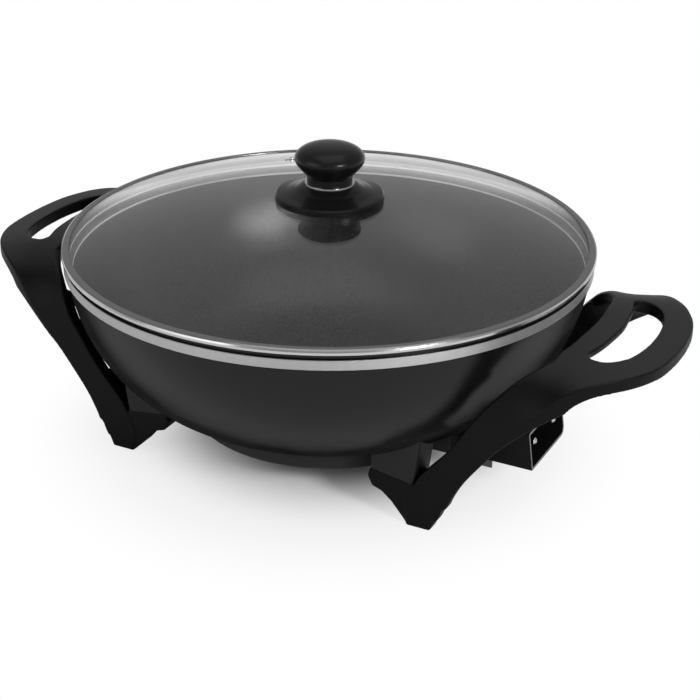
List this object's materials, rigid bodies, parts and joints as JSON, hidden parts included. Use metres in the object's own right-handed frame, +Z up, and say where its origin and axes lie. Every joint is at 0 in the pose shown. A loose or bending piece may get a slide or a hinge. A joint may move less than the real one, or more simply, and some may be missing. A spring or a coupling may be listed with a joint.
{
  "type": "electric wok",
  "caption": "Round cast electric wok on two moulded handle frames with feet, a shrouded socket for a heat control, and a domed glass lift-off lid with a knob.",
  "frame": {"origin": "on the worktop, under the middle of the bowl", "axes": "+Z up; the two handles lie along X; the socket for the heat control opens toward +X; -Y is the near side"},
  "size_m": [0.499, 0.36, 0.2134],
  "materials": {
    "coated_cast_aluminium": "cast aluminium under a dark satin non-stick coat, with a bare machined band round the rim",
    "cast_aluminium": "dark coated cast aluminium",
    "element_steel": "dull sheathed element tube",
    "zinc_steel": "zinc-plated steel",
    "ceramic": "unglazed ceramic, stood in by matt plastic",
    "pin_nickel": "nickel-plated pin",
    "black_steel": "satin black steel sheet",
    "black_moulding": "satin black heat-resistant moulding",
    "coated_boss": "dark coated cast boss",
    "lid_glass": "clear toughened glass",
    "stainless": "bright stainless steel",
    "knob_moulding": "semi-gloss black moulding",
    "brass": "turned brass",
    "silicone": "black silicone"
  },
  "bodies": {
    "pan": {"bowl": "coated_cast_aluminium", "heater_casting": "cast_aluminium", "heating_element": "element_steel", "probe_tube": "zinc_steel", "terminal_bush_near": "ceramic", "terminal_bush_far": "ceramic", "terminal_pin_near": "pin_nickel", "terminal_pin_far": "pin_nickel", "socket_shroud": "black_steel", "shroud_screws": "zinc_steel", "earth_tab": "zinc_steel", "earth_rivet": "zinc_steel", "handle_right": "black_moulding", "handle_left": "black_moulding", "boss_right_near": "coated_boss", "boss_right_far": "coated_boss", "boss_left_near": "coated_boss", "boss_left_far": "coated_boss", "handle_screws": "zinc_steel", "handle_washers": "zinc_steel"},
    "lid": {"lid_glass": "lid_glass", "lid_ring": "stainless", "vent_eyelet": "stainless", "knob_plate": "knob_moulding", "knob_ferrule": "stainless", "knob_head": "knob_moulding", "knob_insert": "brass", "knob_gasket": "silicone", "knob_under_gasket": "silicone", "knob_washer": "stainless", "knob_screw": "stainless"}
  },
  "joints": [
    {"name": "lid_lift", "type": "slide", "parent": "pan", "child": "lid", "axis": [0, 0, 1], "range_m": [0, 0.12]}
  ]
}
